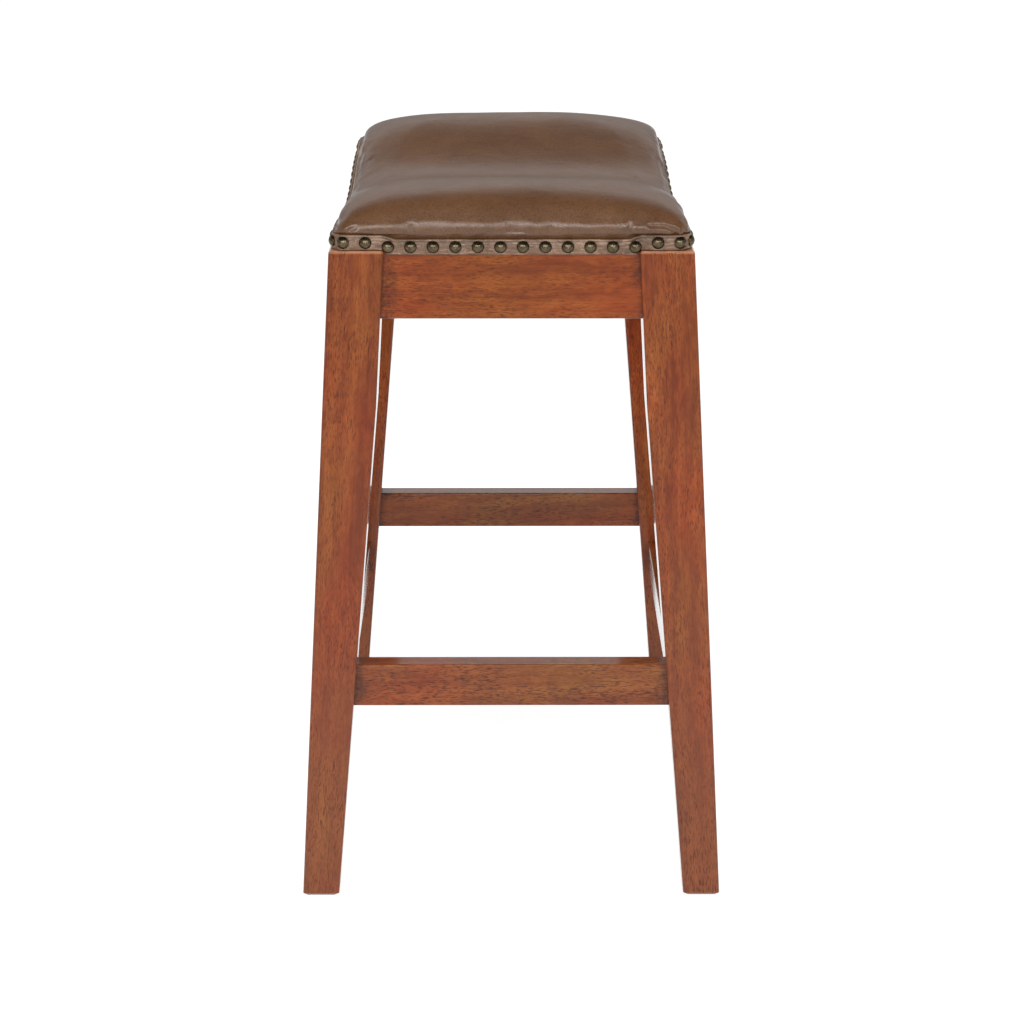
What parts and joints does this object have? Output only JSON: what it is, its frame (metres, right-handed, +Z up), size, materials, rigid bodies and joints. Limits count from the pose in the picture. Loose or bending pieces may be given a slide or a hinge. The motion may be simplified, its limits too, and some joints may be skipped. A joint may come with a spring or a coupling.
{
  "type": "saddle stool",
  "caption": "Counter-height saddle stool: dipped leather seat edged with domed nails, on tapered, splayed wooden legs joined by aprons and stretchers.",
  "frame": {"origin": "on the floor, under the middle of the seat", "axes": "+Z up; X along the seat's length, to the sitter's right; Y across it, to the rear"},
  "size_m": [0.5178, 0.3678, 0.6146],
  "materials": {
    "stained_wood": "reddish brown stain under gloss lacquer",
    "bare_wood": "planed, unfinished",
    "plywood": "moulded plywood, unfinished",
    "foam": "open-cell upholstery foam",
    "brown_leather": "semi-gloss, softly creased",
    "band_leather": "semi-gloss, pulled flat by the nails",
    "antique_brass": "dark antique brass",
    "screw_steel": "zinc plated",
    "staple_steel": "galvanised wire",
    "dust_cloth": "black non-woven cloth"
  },
  "bodies": {
    "root": {"leg_front_left": "stained_wood", "leg_front_right": "stained_wood", "leg_rear_left": "stained_wood", "leg_rear_right": "stained_wood", "apron_front": "stained_wood", "apron_rear": "stained_wood", "apron_left": "stained_wood", "apron_right": "stained_wood", "stretcher_front": "stained_wood", "stretcher_rear": "stained_wood", "stretcher_left": "stained_wood", "stretcher_right": "stained_wood", "corner_brace_front_left": "bare_wood", "corner_brace_front_right": "bare_wood", "corner_brace_rear_left": "bare_wood", "corner_brace_rear_right": "bare_wood", "apron_dowels": "bare_wood", "side_stretcher_dowels": "bare_wood", "end_stretcher_dowels": "bare_wood", "brace_screws": "screw_steel", "leg_screws": "screw_steel", "seat_screws": "screw_steel", "seat_board": "plywood", "foam_pad": "foam", "seat_cover": "brown_leather", "trim_band": "band_leather", "nails_front": "antique_brass", "nails_rear": "antique_brass", "nails_left": "antique_brass", "nails_right": "antique_brass", "cover_staples": "staple_steel", "dust_cover": "dust_cloth"}
  },
  "joints": []
}
